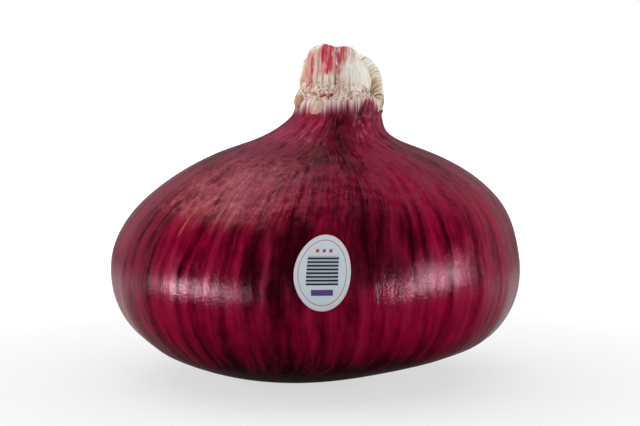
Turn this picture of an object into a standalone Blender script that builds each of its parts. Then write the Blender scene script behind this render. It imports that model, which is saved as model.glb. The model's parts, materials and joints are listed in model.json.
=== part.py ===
"""A large flat red onion, standing on its base, with its dried neck cut short and an oval paper sticker.

Metres, +Z up. The origin is on the surface that the onion stands on, under the middle of its widest ring.
The sticker faces -Y, and the neck leans towards +X.

The bulb is a turned outline, set over by a small lean and ribbed by the veins of its dry skin. A shallow
socket in its top holds the neck, and a shallow hollow in its base holds the root plate.
"""

import math
import random

import bmesh
import bpy
import numpy as np

# The bulb: radius and height of its outside, from the ring it rests on up to the torn edge of the dry skin.
REST_RING = (0.0132, 0.0)
COLLAR_TOP = (0.0116, 0.0738)
BULB_OUTLINE = (
    REST_RING,
    (0.0228, 0.0019),
    (0.0350, 0.0055),
    (0.0470, 0.0108),
    (0.0546, 0.0190),
    (0.0575, 0.0308),
    (0.0543, 0.0434),
    (0.0485, 0.0512),
    (0.0402, 0.0577),
    (0.0298, 0.0630),
    (0.0204, 0.0665),
    (0.0150, 0.0697),
    (0.0127, 0.0721),
    COLLAR_TOP,
)
BULB_RINGS = 31
BULB_STEPS = 112

# The lean: how far each stretch of height is set over towards +X, from its foot to its top.
BASE_SET_OVER = -0.0058
LEANS = (
    (0.0058, 0.000, 0.013),
    (0.0026, 0.034, 0.060),
    (0.0050, 0.063, 0.082),
)

# The veins and folds of the skin, as ribs round the bulb: number of ribs, share of the depth, phase.
RIBS = ((28, 0.45, 0.0), (17, 0.35, 1.3), (11, 0.20, 2.1))
BELLY_RIB_DEPTH = 0.00018
BELLY_RIB_FADE = (0.0005, 0.0120)
# The folds run from a radius inwards to a radius outwards, start at one height and end at another.
FOLD_RIB_DEPTH = 0.00055
FOLD_REACH = (0.0130, 0.0300)
FOLD_START = (0.0600, 0.0640)
FOLD_END = (0.0715, 0.0745)

# The torn edge of the dry skin round the neck, and the tongue of it that stands up at the right.
COLLAR_LIP = 0.0002
TEAR_START = 0.0700
TEARS = ((5, 0.0004, 0.7), (9, 0.0003, 2.0), (16, 0.0003, 0.3))
TONGUE_ANGLE = math.radians(-42)
TONGUE_HALF_WIDTH = math.radians(24)
TONGUE_HEIGHT = 0.0030

# The socket for the neck, the hollow for the root plate, and the gap that touching pieces keep.
GAP = 0.0003
SOCKET_RADIUS = 0.0105
SOCKET_FLOOR = 0.0655
HOLLOW_RADIUS = 0.0098
HOLLOW_TAPER = 0.0004
HOLLOW_CORNER = 0.0006
HOLLOW_DEPTH = 0.0036

# The neck: a bundle of dried leaf bases, high at the left and front, cut low at the right.
NECK_STEPS = 84
NECK_LOW = 0.0752
NECK_TOP = 0.0935
# Degrees round the neck, and height of the cut edge there.
CUT_EDGE = (
    (-180, 0.0880),
    (-140, 0.0928),
    (-90, 0.0935),
    (-68, 0.0918),
    (-50, 0.0830),
    (-25, 0.0778),
    (0, 0.0785),
    (22, 0.0845),
    (50, 0.0888),
    (90, 0.0905),
    (135, 0.0900),
    (180, 0.0880),
)
BUNDLE_TOP = 0.0880
BUNDLE_EDGE = (0.0055, 0.0080)
# Radius, and share of the way from the torn ridge up to the cut edge, down the outside of the stub.
NECK_SIDE = (
    (0.0102, 0.985),
    (0.0110, 0.93),
    (0.0113, 0.83),
    (0.0113, 0.70),
    (0.0112, 0.57),
    (0.0111, 0.44),
    (0.0112, 0.32),
    (0.0118, 0.22),
    (0.0123, 0.14),
    (0.0123, 0.07),
    (0.0117, 0.01),
)
# Radius, and depth below the cut edge, from the middle of the cut outwards: the edges of the leaf bases.
NECK_CUT = (
    (0.0012, 0.0021),
    (0.0024, 0.0016),
    (0.0033, 0.0034),
    (0.0043, 0.0012),
    (0.0052, 0.0009),
    (0.0060, 0.0030),
    (0.0070, 0.0006),
    (0.0082, 0.0002),
    (0.0094, 0.0000),
)
NECK_CENTRE_DEPTH = 0.0026
# The cut is turned this far above its place, clear of the side, and then brought down to the cut edge.
CUT_RAISED = NECK_TOP + 0.0100
NECK_FIBRES = 24
NECK_FIBRE_DEPTH = 0.00022
# The torn ridge at the foot of the stub stands on the edge of the dry skin, and slips behind the tongue.
RIDGE_ABOVE_COLLAR = 0.0008
RIDGE_UNDERCUT = 0.0012
BEHIND_TONGUE = (COLLAR_TOP[1] + TONGUE_HEIGHT, COLLAR_TOP[1] + TONGUE_HEIGHT + 0.0010)
TONGUE_MARGIN = math.radians(14)
RUFF_PLEATS = 32
RUFF_PLEAT_DEPTH = 0.00035

# The root plate in the hollow of the base, with its trimmed root stubs.
PLATE_RADIUS = 0.0080
PLATE_THICKNESS = 0.0011
ROOT_COUNT = 44
ROOT_RADIUS = 0.00045
ROOT_TAPER = 0.55
ROOT_SPREAD = 0.45
ROOT_MARGIN = 0.0012
ROOT_SUNK = 0.0007
ROOT_CLEARANCE = 0.0004
ROOT_SEED = 11

# The sticker: an oval that follows the belly at the front.
STICKER_WIDTH = 0.0143
STICKER_HEIGHT = 0.0195
STICKER_THICKNESS = 0.0006
STICKER_LIFT = 0.0005
STICKER_ANGLE = math.radians(-88.4)
STICKER_MIDDLE = 0.0371


def smooth_curve(points, samples):
    """A natural cubic spline through the points, spaced by the square root of each chord."""
    points = np.asarray(points, float)
    chords = np.linalg.norm(np.diff(points, axis=0), axis=1)
    knots = np.concatenate([[0.0], np.cumsum(np.sqrt(chords))])
    spans = np.diff(knots)
    system = np.eye(len(knots))
    bends = np.zeros_like(points)
    for i in range(1, len(knots) - 1):
        system[i, i - 1 : i + 2] = spans[i - 1], 2 * (spans[i - 1] + spans[i]), spans[i]
        rise = (points[i + 1] - points[i]) / spans[i]
        fall = (points[i] - points[i - 1]) / spans[i - 1]
        bends[i] = 6 * (rise - fall)
    second = np.linalg.solve(system, bends)
    at = np.linspace(0.0, knots[-1], samples)
    k = np.clip(np.searchsorted(knots, at, side="right") - 1, 0, len(spans) - 1)
    before = (at - knots[k])[:, None]
    after = (knots[k + 1] - at)[:, None]
    span = spans[k][:, None]
    cubic = (second[k] * after**3 + second[k + 1] * before**3) / (6 * span)
    line = (points[k] / span - second[k] * span / 6) * after
    return cubic + line + (points[k + 1] / span - second[k + 1] * span / 6) * before


FINE_OUTLINE = smooth_curve(BULB_OUTLINE, 600)
OUTLINE_LENGTH = np.concatenate([[0.0], np.cumsum(np.linalg.norm(np.diff(FINE_OUTLINE, axis=0), axis=1))])


def ease(value, low, high):
    """0 below low, 1 above high, and a smooth step between."""
    t = min(1.0, max(0.0, (value - low) / (high - low)))
    return t * t * (3 - 2 * t)


def hump(angle, middle, half_width):
    """1 at the middle angle, falling smoothly to 0 at half_width on either side."""
    away = abs(math.remainder(angle - middle, math.tau))
    return 1.0 - ease(away, 0.0, half_width)


def lean(height):
    """How far the onion is set over towards +X at this height."""
    return BASE_SET_OVER + sum(shift * ease(height, low, high) for shift, low, high in LEANS)


def collar_edge(angle):
    """Height of the torn edge of the dry skin, round the neck."""
    torn = sum(depth * math.cos(count * angle + phase) for count, depth, phase in TEARS)
    tongue = TONGUE_HEIGHT * hump(angle, TONGUE_ANGLE, TONGUE_HALF_WIDTH)
    return COLLAR_TOP[1] + torn + tongue


def cut_edge(angle):
    """Height of the neck's cut edge, round the neck: an easy step from each stated height to the next."""
    turn = math.degrees(math.remainder(angle, math.tau))
    for (start, low), (end, high) in zip(CUT_EDGE, CUT_EDGE[1:]):
        if start <= turn <= end:
            return low + (high - low) * ease(turn, start, end)
    return CUT_EDGE[0][1]


def rib_height(angle, radius, height):
    """How far the veins stand out of the turned outline: low on the belly, and deep folds under the neck."""
    wave = sum(share * math.cos(count * angle + phase) for count, share, phase in RIBS)
    fold = (1 - ease(radius, *FOLD_REACH)) * ease(height, *FOLD_START) * (1 - ease(height, *FOLD_END))
    return wave * (BELLY_RIB_DEPTH * ease(height, *BELLY_RIB_FADE) + FOLD_RIB_DEPTH * fold)


def material(name, colour, roughness):
    """A Principled BSDF of one colour."""
    made = bpy.data.materials.new(name)
    made.use_nodes = True
    shader = made.node_tree.nodes["Principled BSDF"]
    shader.inputs["Base Color"].default_value = (*colour, 1.0)
    shader.inputs["Roughness"].default_value = roughness
    made.diffuse_color = (*colour, 1.0)
    return made


def add_object(name, mesh, collection, finish):
    """A new object for the mesh, in the collection, with one material, shaded smooth."""
    obj = bpy.data.objects.new(name, mesh)
    collection.objects.link(obj)
    mesh.materials.clear()
    mesh.materials.append(finish)
    mesh.shade_smooth()
    mesh.set_sharp_from_angle(angle=math.radians(50))
    return obj


def turned(name, profile, steps):
    """The mesh of a profile of (radius, height) points, from its top middle out and down, turned about Z."""
    line = bpy.data.meshes.new(name + "_profile")
    edges = [(i, i + 1) for i in range(len(profile) - 1)]
    line.from_pydata([(radius, 0.0, height) for radius, height in profile], edges, [])
    guide = bpy.data.objects.new(name + "_profile", line)
    bpy.context.scene.collection.objects.link(guide)
    screw = guide.modifiers.new("turn", "SCREW")
    screw.axis = "Z"
    screw.angle = math.tau
    screw.steps = steps
    screw.render_steps = steps
    screw.use_merge_vertices = True
    screw.merge_threshold = 0.00001
    graph = bpy.context.evaluated_depsgraph_get()
    mesh = bpy.data.meshes.new_from_object(guide.evaluated_get(graph))
    bpy.data.objects.remove(guide)
    bpy.data.meshes.remove(line)
    mesh.name = name
    return mesh


def reshape(mesh, place):
    """Moves each vertex to place(angle, radius, height), and then sets it over by the lean at its height."""
    for vertex in mesh.vertices:
        x, y, height = vertex.co
        angle = math.atan2(y, x)
        radius, height = place(angle, math.hypot(x, y), height)
        vertex.co = (
            radius * math.cos(angle) + lean(height),
            radius * math.sin(angle),
            height,
        )


def make_bulb(collection, finish):
    """The bulb, closed over its socket at the top and its hollow at the base."""
    outside = [tuple(point) for point in smooth_curve(BULB_OUTLINE, BULB_RINGS)][::-1]
    lip = COLLAR_TOP[1]
    profile = [
        (0.0, SOCKET_FLOOR),
        (SOCKET_RADIUS * 0.55, SOCKET_FLOOR),
        (SOCKET_RADIUS, SOCKET_FLOOR),
        (SOCKET_RADIUS, (SOCKET_FLOOR + lip) / 2),
        (SOCKET_RADIUS, lip - COLLAR_LIP),
        *outside,
        (HOLLOW_RADIUS + HOLLOW_TAPER, 0.0),
        (HOLLOW_RADIUS, HOLLOW_CORNER),
        (HOLLOW_RADIUS - HOLLOW_TAPER, HOLLOW_DEPTH),
        (HOLLOW_RADIUS * 0.5, HOLLOW_DEPTH),
        (0.0, HOLLOW_DEPTH),
    ]

    def place(angle, radius, height):
        outside_socket = radius > SOCKET_RADIUS + COLLAR_LIP
        on_socket_wall = radius > SOCKET_RADIUS - COLLAR_LIP
        if outside_socket and height > 0:
            radius += rib_height(angle, radius, height)
        if on_socket_wall:
            height += ease(height, TEAR_START, lip - COLLAR_LIP) * (collar_edge(angle) - lip)
        return radius, height

    mesh = turned("bulb", profile, BULB_STEPS)
    reshape(mesh, place)
    return add_object("bulb", mesh, collection, finish)


def make_neck(collection, finish):
    """The stub of dried leaf bases, standing in the bulb's socket."""
    plug_radius = SOCKET_RADIUS - GAP
    plug_floor = SOCKET_FLOOR + GAP
    side = [(radius, NECK_LOW + share * (NECK_TOP - NECK_LOW)) for radius, share in NECK_SIDE]
    cut = [(radius, CUT_RAISED - depth) for radius, depth in NECK_CUT]
    profile = [
        (0.0, CUT_RAISED - NECK_CENTRE_DEPTH),
        *cut,
        *side,
        (plug_radius, NECK_LOW - RIDGE_UNDERCUT),
        (plug_radius, (NECK_LOW + plug_floor) / 2),
        (plug_radius, plug_floor),
        (plug_radius * 0.5, plug_floor),
        (0.0, plug_floor),
    ]

    def place(angle, radius, height):
        edge = cut_edge(angle)
        foot = collar_edge(angle) + RIDGE_ABOVE_COLLAR
        if height > NECK_TOP:
            pleat = math.cos(RUFF_PLEATS * angle + 0.4 * math.sin(3 * angle))
            ruff = ease(radius, *BUNDLE_EDGE)
            depth = CUT_RAISED - height - RUFF_PLEAT_DEPTH * pleat * ruff
            height = BUNDLE_TOP + (edge - BUNDLE_TOP) * ruff - depth
        elif height >= NECK_LOW:
            share = (height - NECK_LOW) / (NECK_TOP - NECK_LOW)
            height = foot + share * (edge - foot)
            fibre = math.cos(NECK_FIBRES * angle + 1.5 * math.sin(2 * angle))
            radius += NECK_FIBRE_DEPTH * fibre
            behind = 1 - ease(height, *BEHIND_TONGUE)
            tucked = hump(angle, TONGUE_ANGLE, TONGUE_HALF_WIDTH + TONGUE_MARGIN) * behind
            radius += tucked * (plug_radius - radius)
        elif height >= NECK_LOW - RIDGE_UNDERCUT:
            height = foot - RIDGE_ABOVE_COLLAR / 2
        return radius, height

    mesh = turned("neck", profile, NECK_STEPS)
    reshape(mesh, place)
    return add_object("neck", mesh, collection, finish)


def root_stub(draw, index):
    """One trimmed root: a short tapered peg, at its place in a sunflower spiral, leaning outwards."""
    share = (index + 0.5) / ROOT_COUNT
    out = math.sqrt(share) * (PLATE_RADIUS - ROOT_MARGIN)
    turn = index * math.pi * (3 - math.sqrt(5))
    underside = HOLLOW_DEPTH - GAP - PLATE_THICKNESS
    length = (underside - ROOT_CLEARANCE) * draw.uniform(0.55, 0.95)
    tilt = ROOT_SPREAD * math.sqrt(share) + draw.uniform(-0.1, 0.1)
    peg = bmesh.new()
    bmesh.ops.create_cone(
        peg,
        cap_ends=True,
        segments=5,
        radius1=ROOT_RADIUS * ROOT_TAPER,
        radius2=ROOT_RADIUS * draw.uniform(0.75, 1.15),
        depth=length + ROOT_SUNK,
    )
    for vertex in peg.verts:
        x, y, along = vertex.co
        drop = along + (ROOT_SUNK - length) / 2
        reach = out + x + max(0.0, -drop) * math.tan(tilt)
        vertex.co = (
            reach * math.cos(turn) - y * math.sin(turn) + lean(0.0),
            reach * math.sin(turn) + y * math.cos(turn),
            underside + drop,
        )
    mesh = bpy.data.meshes.new(f"root_{index}")
    peg.to_mesh(mesh)
    peg.free()
    return mesh


def make_root_plate(collection, finish):
    """The disc that the leaf bases grow from, with the root stubs joined to its underside."""
    top = HOLLOW_DEPTH - GAP
    profile = [
        (0.0, top),
        (PLATE_RADIUS * 0.6, top),
        (PLATE_RADIUS, top),
        (PLATE_RADIUS - 0.0002, top - PLATE_THICKNESS * 0.6),
        (PLATE_RADIUS - 0.0009, top - PLATE_THICKNESS),
        (PLATE_RADIUS * 0.5, top - PLATE_THICKNESS * 1.05),
        (0.0, top - PLATE_THICKNESS * 1.05),
    ]
    mesh = turned("root_plate", profile, 40)
    reshape(mesh, lambda angle, radius, height: (radius, height))
    for vertex in mesh.vertices:
        vertex.co.x += lean(0.0) - lean(vertex.co.z)
    plate = add_object("root_plate", mesh, collection, finish)
    pegs = bpy.data.collections.new("root_pegs")
    bpy.context.scene.collection.children.link(pegs)
    draw = random.Random(ROOT_SEED)
    for index in range(ROOT_COUNT):
        pegs.objects.link(bpy.data.objects.new(f"root_peg_{index}", root_stub(draw, index)))
    union = plate.modifiers.new("roots", "BOOLEAN")
    union.operation = "UNION"
    union.solver = "MANIFOLD"
    union.operand_type = "COLLECTION"
    union.collection = pegs
    bpy.context.view_layer.objects.active = plate
    with bpy.context.temp_override(object=plate, active_object=plate):
        bpy.ops.object.modifier_apply(modifier=union.name)
    for peg in list(pegs.objects):
        bpy.data.objects.remove(peg)
    bpy.data.collections.remove(pegs)
    return plate


def belly_point(angle, along):
    """A point of the turned outline and its outward normal, this far up along the outline from the base."""
    radius, height = (float(np.interp(along, OUTLINE_LENGTH, FINE_OUTLINE[:, i])) for i in (0, 1))
    ahead, above = (float(np.interp(along + 0.0005, OUTLINE_LENGTH, FINE_OUTLINE[:, i])) for i in (0, 1))
    rise, out = above - height, ahead - radius
    size = math.hypot(rise, out)
    point = np.array([radius * math.cos(angle) + lean(height), radius * math.sin(angle), height])
    normal = np.array([rise * math.cos(angle), rise * math.sin(angle), -out]) / size
    return point, normal


def make_sticker(collection, finish):
    """The oval sticker: a grid drawn in to a round outline, bent to the belly, and given its thickness."""
    bpy.ops.mesh.primitive_grid_add(x_subdivisions=10, y_subdivisions=12, size=2.0)
    sheet = bpy.context.object
    middle = float(np.interp(STICKER_MIDDLE, FINE_OUTLINE[:, 1], OUTLINE_LENGTH))
    belly = float(np.interp(STICKER_MIDDLE, FINE_OUTLINE[:, 1], FINE_OUTLINE[:, 0]))
    for vertex in sheet.data.vertices:
        u, v, _ = vertex.co
        across = u * math.sqrt(1 - v * v / 2) * STICKER_WIDTH / 2
        up = v * math.sqrt(1 - u * u / 2) * STICKER_HEIGHT / 2
        point, normal = belly_point(STICKER_ANGLE + across / belly, middle + up)
        vertex.co = point + normal * STICKER_LIFT
    shell = sheet.modifiers.new("thickness", "SOLIDIFY")
    shell.thickness = STICKER_THICKNESS
    shell.offset = 1.0
    graph = bpy.context.evaluated_depsgraph_get()
    mesh = bpy.data.meshes.new_from_object(sheet.evaluated_get(graph))
    bpy.data.objects.remove(sheet)
    return add_object("sticker", mesh, collection, finish)


def main():
    for obj in list(bpy.data.objects):
        bpy.data.objects.remove(obj)
    onion = bpy.data.collections.new("red_onion")
    bpy.context.scene.collection.children.link(onion)
    make_bulb(onion, material("dry_red_skin", (0.17, 0.008, 0.03), 0.35))
    make_neck(onion, material("dried_leaf_bases", (0.66, 0.55, 0.42), 0.75))
    make_root_plate(onion, material("dried_roots", (0.36, 0.25, 0.14), 0.85))
    make_sticker(onion, material("sticker_paper", (0.80, 0.83, 0.84), 0.40))


main()
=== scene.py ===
"""The looks of a large flat red onion: striped glossy skin, a torn cream neck, trimmed roots and a sticker.

Metres, +Z up, in the frame's own axes: the sticker faces -Y and the neck leans towards +X. Each piece is a
grid worked out from an angle round the onion and a height, with its place in its mesh.
"""

import json
import math

import bpy
import numpy as np
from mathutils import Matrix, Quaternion, Vector

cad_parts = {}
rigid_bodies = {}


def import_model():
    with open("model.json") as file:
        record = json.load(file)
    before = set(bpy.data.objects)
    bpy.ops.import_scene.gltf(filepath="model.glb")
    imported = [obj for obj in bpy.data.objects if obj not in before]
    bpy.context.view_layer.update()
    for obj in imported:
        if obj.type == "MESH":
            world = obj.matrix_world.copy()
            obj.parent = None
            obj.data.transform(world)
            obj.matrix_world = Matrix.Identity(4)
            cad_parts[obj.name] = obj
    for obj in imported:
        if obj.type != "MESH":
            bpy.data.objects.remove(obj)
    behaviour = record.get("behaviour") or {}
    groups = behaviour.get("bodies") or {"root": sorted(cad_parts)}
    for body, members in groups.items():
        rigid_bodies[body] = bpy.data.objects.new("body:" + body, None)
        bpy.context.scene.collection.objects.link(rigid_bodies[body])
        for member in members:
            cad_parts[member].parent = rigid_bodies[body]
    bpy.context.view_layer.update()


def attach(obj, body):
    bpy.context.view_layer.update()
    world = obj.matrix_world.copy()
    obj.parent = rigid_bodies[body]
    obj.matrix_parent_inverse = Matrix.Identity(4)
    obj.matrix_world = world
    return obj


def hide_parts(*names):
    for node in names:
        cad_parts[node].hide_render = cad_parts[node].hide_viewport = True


for leftover in list(bpy.data.objects):
    bpy.data.objects.remove(leftover)
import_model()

TURN = 2 * math.pi

# The bulb's turned outline: radius and height, from its resting ring up to the torn edge of its skin.
REST_RING = (0.0132, 0.0)
COLLAR_TOP = (0.0116, 0.0738)
BULB_OUTLINE = (
    REST_RING,
    (0.0228, 0.0019),
    (0.0350, 0.0055),
    (0.0470, 0.0108),
    (0.0546, 0.0190),
    (0.0575, 0.0308),
    (0.0543, 0.0434),
    (0.0485, 0.0512),
    (0.0402, 0.0577),
    (0.0298, 0.0630),
    (0.0204, 0.0665),
    (0.0150, 0.0697),
    (0.0127, 0.0721),
    COLLAR_TOP,
)
BULB_ROWS = 168
BULB_STEPS = 480

# The lean: how far each stretch of height is set over towards +X, from its foot to its top.
BASE_SET_OVER = -0.0058
LEANS = (
    (0.0058, 0.000, 0.013),
    (0.0026, 0.034, 0.060),
    (0.0050, 0.063, 0.082),
)

# The veins and folds of the skin, as ribs round the bulb: number of ribs, share of the depth, phase.
RIBS = ((28, 0.45, 0.0), (17, 0.35, 1.3), (11, 0.20, 2.1))
BELLY_RIB_DEPTH = 0.00018
BELLY_RIB_FADE = (0.0005, 0.0120)
FOLD_RIB_DEPTH = 0.00024
FOLD_REACH = (0.0130, 0.0300)
FOLD_START = (0.0600, 0.0640)
FOLD_END = (0.0715, 0.0745)
VEIN_DEPTH = 0.00005
VEIN_COUNTS = (53, 71, 89, 113)

# The skin's torn top edge, with its tongue and dip at the right in degrees round, and the socket and hollow
# that it is closed over.
SKIN_TOP = 0.0790
SKIN_BAND_RADIUS = 0.0119
SKIN_TOP_RADIUS = 0.0115
TONGUE_ANGLE = -50
TONGUE_HALF_WIDTH = 17
TONGUE_HEIGHT = 0.0004
DIP_ANGLE = -4
DIP_REACH = (20, 36)
DIP_DEPTH = 0.0042
COLLAR_ROWS = 11
JOIN_ROWS = 6
JOIN_PASSES = 14
SOCKET_FLOOR = 0.0655
SOCKET_LEVELS = (0.0720, SOCKET_FLOOR + 0.0002, SOCKET_FLOOR)
SOCKET_INSETS = (0.00022, 0.0004, 0.0013, 0.0013, 0.0060)
HOLLOW_RADIUS = 0.0098
HOLLOW_TAPER = 0.0004
HOLLOW_CORNER = 0.0006
HOLLOW_DEPTH = 0.0036
HOLLOW_OUTLINE = np.array((
    (HOLLOW_RADIUS * 0.5, HOLLOW_DEPTH),
    (HOLLOW_RADIUS - HOLLOW_TAPER, HOLLOW_DEPTH),
    (HOLLOW_RADIUS, HOLLOW_CORNER),
    (HOLLOW_RADIUS + HOLLOW_TAPER, 0.0),
))

# Streaks in the skin: degrees round, half width in degrees, lowest and highest height, strength.
SKIN_STREAKS = (
    (-159, 2.6, 0.010, 0.062, 0.5),
    (-149, 1.6, 0.016, 0.052, -0.7),
    (-145, 2.2, 0.008, 0.058, 0.8),
    (-140, 1.5, 0.016, 0.052, -0.7),
    (-136.5, 1.4, 0.024, 0.050, 0.5),
    (-132, 1.9, 0.008, 0.052, 0.8),
    (-128.5, 1.3, 0.014, 0.046, -0.7),
    (-125.5, 1.7, 0.006, 0.046, 0.7),
    (-119.5, 2.0, 0.008, 0.056, 0.5),
    (-114, 1.8, 0.008, 0.046, -0.6),
    (-110, 1.2, 0.010, 0.047, 0.9),
    (-106.5, 1.4, 0.020, 0.052, -0.6),
    (-105, 1.2, 0.006, 0.026, 0.6),
    (-102, 1.6, 0.018, 0.044, -0.5),
    (-98, 2.8, 0.030, 0.052, -0.5),
    (-84, 5.0, 0.036, 0.056, -0.4),
    (-77, 1.4, 0.020, 0.050, 0.4),
    (-66, 1.2, 0.010, 0.050, 0.7),
    (-62, 1.2, 0.038, 0.060, 0.7),
    (-60, 1.6, 0.030, 0.050, -0.5),
    (-55.5, 1.4, 0.024, 0.058, 0.6),
    (-52, 1.0, 0.020, 0.054, -0.7),
    (-48, 1.6, 0.026, 0.056, 0.7),
    (-43.5, 1.0, 0.034, 0.056, -0.6),
    (-37, 1.6, 0.016, 0.054, 0.6),
    (-28, 1.4, 0.018, 0.050, 0.8),
    (-23, 1.3, 0.020, 0.048, -0.6),
    # The last four streaks, just under the neck, are painted highlights: pale streaks where the folds there
    # shine.
    (-42, 2.4, 0.0680, 0.0710, 1.8),
    (-50, 1.6, 0.0700, 0.0720, 1.2),
    (-148, 4.0, 0.0700, 0.0725, 1.2),
    (-116, 3.0, 0.0690, 0.0720, 0.8),
)

# Broad darker zones, and lighter ones below nought, in the same form. The lighter zones at -172 and -28
# degrees, and low down at -146 and -34 degrees, are painted light on the sides, and those at -138 and -46
# degrees just under the neck are painted highlights; the rest darken or lighten the skin's own tone.
SHADES = (
    (-101, 12, 0.0340, 0.0450, 0.52),
    (-72, 12, 0.0400, 0.0475, 0.70),
    (-86, 24, 0.0190, 0.0270, -0.18),
    (-83, 12, 0.0670, 0.0712, 0.45),
    (-112, 20, 0.0712, 0.0740, -0.50),
    (-138, 30, 0.0705, 0.0740, -0.60),
    (-124, 26, 0.0630, 0.0660, 0.22),
    (-142, 6, 0.0360, 0.0540, 0.40),
    (-46, 12, 0.0660, 0.0730, -0.30),
    (-124, 10, 0.0520, 0.0590, -0.30),
    (-146, 22, 0.0080, 0.0240, -0.40),
    (-34, 24, 0.0080, 0.0260, -0.55),
    (-28, 16, 0.0360, 0.0520, -0.35),
    (-172, 16, 0.0200, 0.0500, -0.40),
    (-68, 15, 0.0180, 0.0260, -0.42),
    (-124, 14, 0.0170, 0.0260, -0.28),
    (-56, 10, 0.0295, 0.0370, -0.22),
    (-55, 12, 0.0570, 0.0620, -0.45),
)

# The worn patch high at the left, partly worn skin and partly painted sheen where the skin shines, its
# lower edge, and its golden veins, in the same form.
WORN_AND_SHEEN_PATCH = (-124, 24, 0.0512, 0.0605, 0.7)
WORN_AND_SHEEN_EDGE = (-132, 14, 0.0516, 0.0562, 0.7)
GOLDEN_VEINS = (
    (-131.6, 0.38, 0.0455, 0.0520, 1.0),
    (-127.6, 0.32, 0.0475, 0.0530, 1.0),
    (-120.9, 0.36, 0.0460, 0.0525, 1.0),
    (-116.5, 0.30, 0.0480, 0.0530, 1.0),
)

# The sticker: an oval that follows the belly at the front.
STICKER_WIDTH = 0.0143
STICKER_HEIGHT = 0.0195
STICKER_THICKNESS = 0.00012
STICKER_LIFT = 0.00034
STICKER_ANGLE = math.radians(-88.4)
STICKER_MIDDLE = 0.0371

# The camera, at the photograph's viewing angle, and its lens on a sensor 36 mm wide.
CAMERA_PLACE = (0.0, -0.49826, 0.10083)
CAMERA_AHEAD = (0.0025, 0.9940, -0.1096)
CAMERA_LENS = 100.0


def smooth_curve(points, samples):
    """A natural cubic spline through the points, spaced by the square root of each chord."""
    points = np.asarray(points, float)
    chords = np.linalg.norm(np.diff(points, axis=0), axis=1)
    knots = np.concatenate([[0.0], np.cumsum(np.sqrt(chords))])
    spans = np.diff(knots)
    system = np.eye(len(knots))
    bends = np.zeros_like(points)
    for i in range(1, len(knots) - 1):
        system[i, i - 1 : i + 2] = spans[i - 1], 2 * (spans[i - 1] + spans[i]), spans[i]
        rise = (points[i + 1] - points[i]) / spans[i]
        fall = (points[i] - points[i - 1]) / spans[i - 1]
        bends[i] = 6 * (rise - fall)
    second = np.linalg.solve(system, bends)
    at = np.linspace(0.0, knots[-1], samples)
    k = np.clip(np.searchsorted(knots, at, side="right") - 1, 0, len(spans) - 1)
    before = (at - knots[k])[:, None]
    after = (knots[k + 1] - at)[:, None]
    span = spans[k][:, None]
    cubic = (second[k] * after**3 + second[k + 1] * before**3) / (6 * span)
    line = (points[k] / span - second[k] * span / 6) * after
    return cubic + line + (points[k + 1] / span - second[k + 1] * span / 6) * before


FINE_OUTLINE = smooth_curve(BULB_OUTLINE, 900)
OUTLINE_LENGTH = np.concatenate([[0.0], np.cumsum(np.linalg.norm(np.diff(FINE_OUTLINE, axis=0), axis=1))])


def ease(value, low, high):
    """0 below low, 1 above high, and a smooth step between."""
    t = np.clip((value - low) / (high - low), 0.0, 1.0)
    return t * t * (3 - 2 * t)


def between(value, low, high, soft):
    """1 from low to high, falling smoothly to 0 over the soft distance outside them."""
    return ease(value, low - soft, low) * (1 - ease(value, high, high + soft))


def ring_angles(steps, start=0.0):
    """The angles of a ring's points, anticlockwise from the start, as a row."""
    return (np.arange(steps) / steps * TURN + start)[None, :]


def ladder(rows):
    """Even steps from 0 to 1, as a column."""
    return np.linspace(0, 1, rows)[:, None]


def beyond(angle, degrees, near, far):
    """0 within near degrees of this direction, 1 past far degrees from it, and a smooth step between."""
    away = np.abs((angle - math.radians(degrees) + math.pi) % TURN - math.pi)
    return ease(away, math.radians(near), math.radians(far))


def hump(angle, degrees, half_width):
    """1 in this direction, falling smoothly to 0 at half_width degrees on either side."""
    return 1.0 - beyond(angle, degrees, 0, half_width)


def patches(round_share, up_share, cells_round, cells_up, seed):
    """Smooth random patches, -1 to 1, closed round the axis: seeded values at the corners of a grid of
    cells, with an easy step from corner to corner."""
    corners = np.random.default_rng(seed).uniform(-1, 1, (cells_up + 2, cells_round))
    x = np.asarray(round_share) % 1.0 * cells_round
    y = np.clip(up_share, 0.0, 1.0) * cells_up
    x, y = np.broadcast_arrays(x, y)
    left = np.floor(x).astype(int) % cells_round
    right = (left + 1) % cells_round
    below = np.floor(y).astype(int)
    across = ease(x - np.floor(x), 0.0, 1.0)
    up = ease(y - below, 0.0, 1.0)
    low = corners[below, left] * (1 - across) + corners[below, right] * across
    high = corners[below + 1, left] * (1 - across) + corners[below + 1, right] * across
    return low * (1 - up) + high * up


def ripple(round_share, cells, seed):
    """Smooth random values round the axis, -1 to 1: the lowest line of such patches."""
    return patches(round_share, 0.0, cells, 1, seed)


def arch(share):
    """A sine from 0 up to 1 half way, and back to 0 at 1."""
    return np.sin(np.pi * np.clip(share, 0, 1))


def lean(height):
    """How far the onion is set over towards +X at this height."""
    return BASE_SET_OVER + sum(shift * ease(height, low, high) for shift, low, high in LEANS)


def place(angle, radius, height):
    """Points at this angle, radius and height, set over by the lean at their height."""
    angle, radius, height = np.broadcast_arrays(angle, radius, height)
    return np.stack([radius * np.cos(angle) + lean(height), radius * np.sin(angle), height], axis=-1)


def rib_height(angle, radius, height):
    """How far the veins stand out of the turned outline: low on the belly, and deep folds under the neck."""
    wave = sum(share * np.cos(count * angle + phase) for count, share, phase in RIBS)
    fold = (1 - ease(radius, *FOLD_REACH)) * ease(height, *FOLD_START) * (1 - ease(height, *FOLD_END))
    return wave * (BELLY_RIB_DEPTH * ease(height, *BELLY_RIB_FADE) + FOLD_RIB_DEPTH * fold)


def fine_veins(angle, height):
    """Thin ridges that run up the skin, which wander a little: a sum of cosines with seeded phases."""
    phases = np.random.default_rng(5).uniform(0, TURN, len(VEIN_COUNTS))
    wander = 0.010 * np.sin(height * 160 + 3 * angle)
    waves = [np.cos(count * (angle + wander) + phase) for count, phase in zip(VEIN_COUNTS, phases)]
    return sum(waves) / len(waves)


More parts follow.
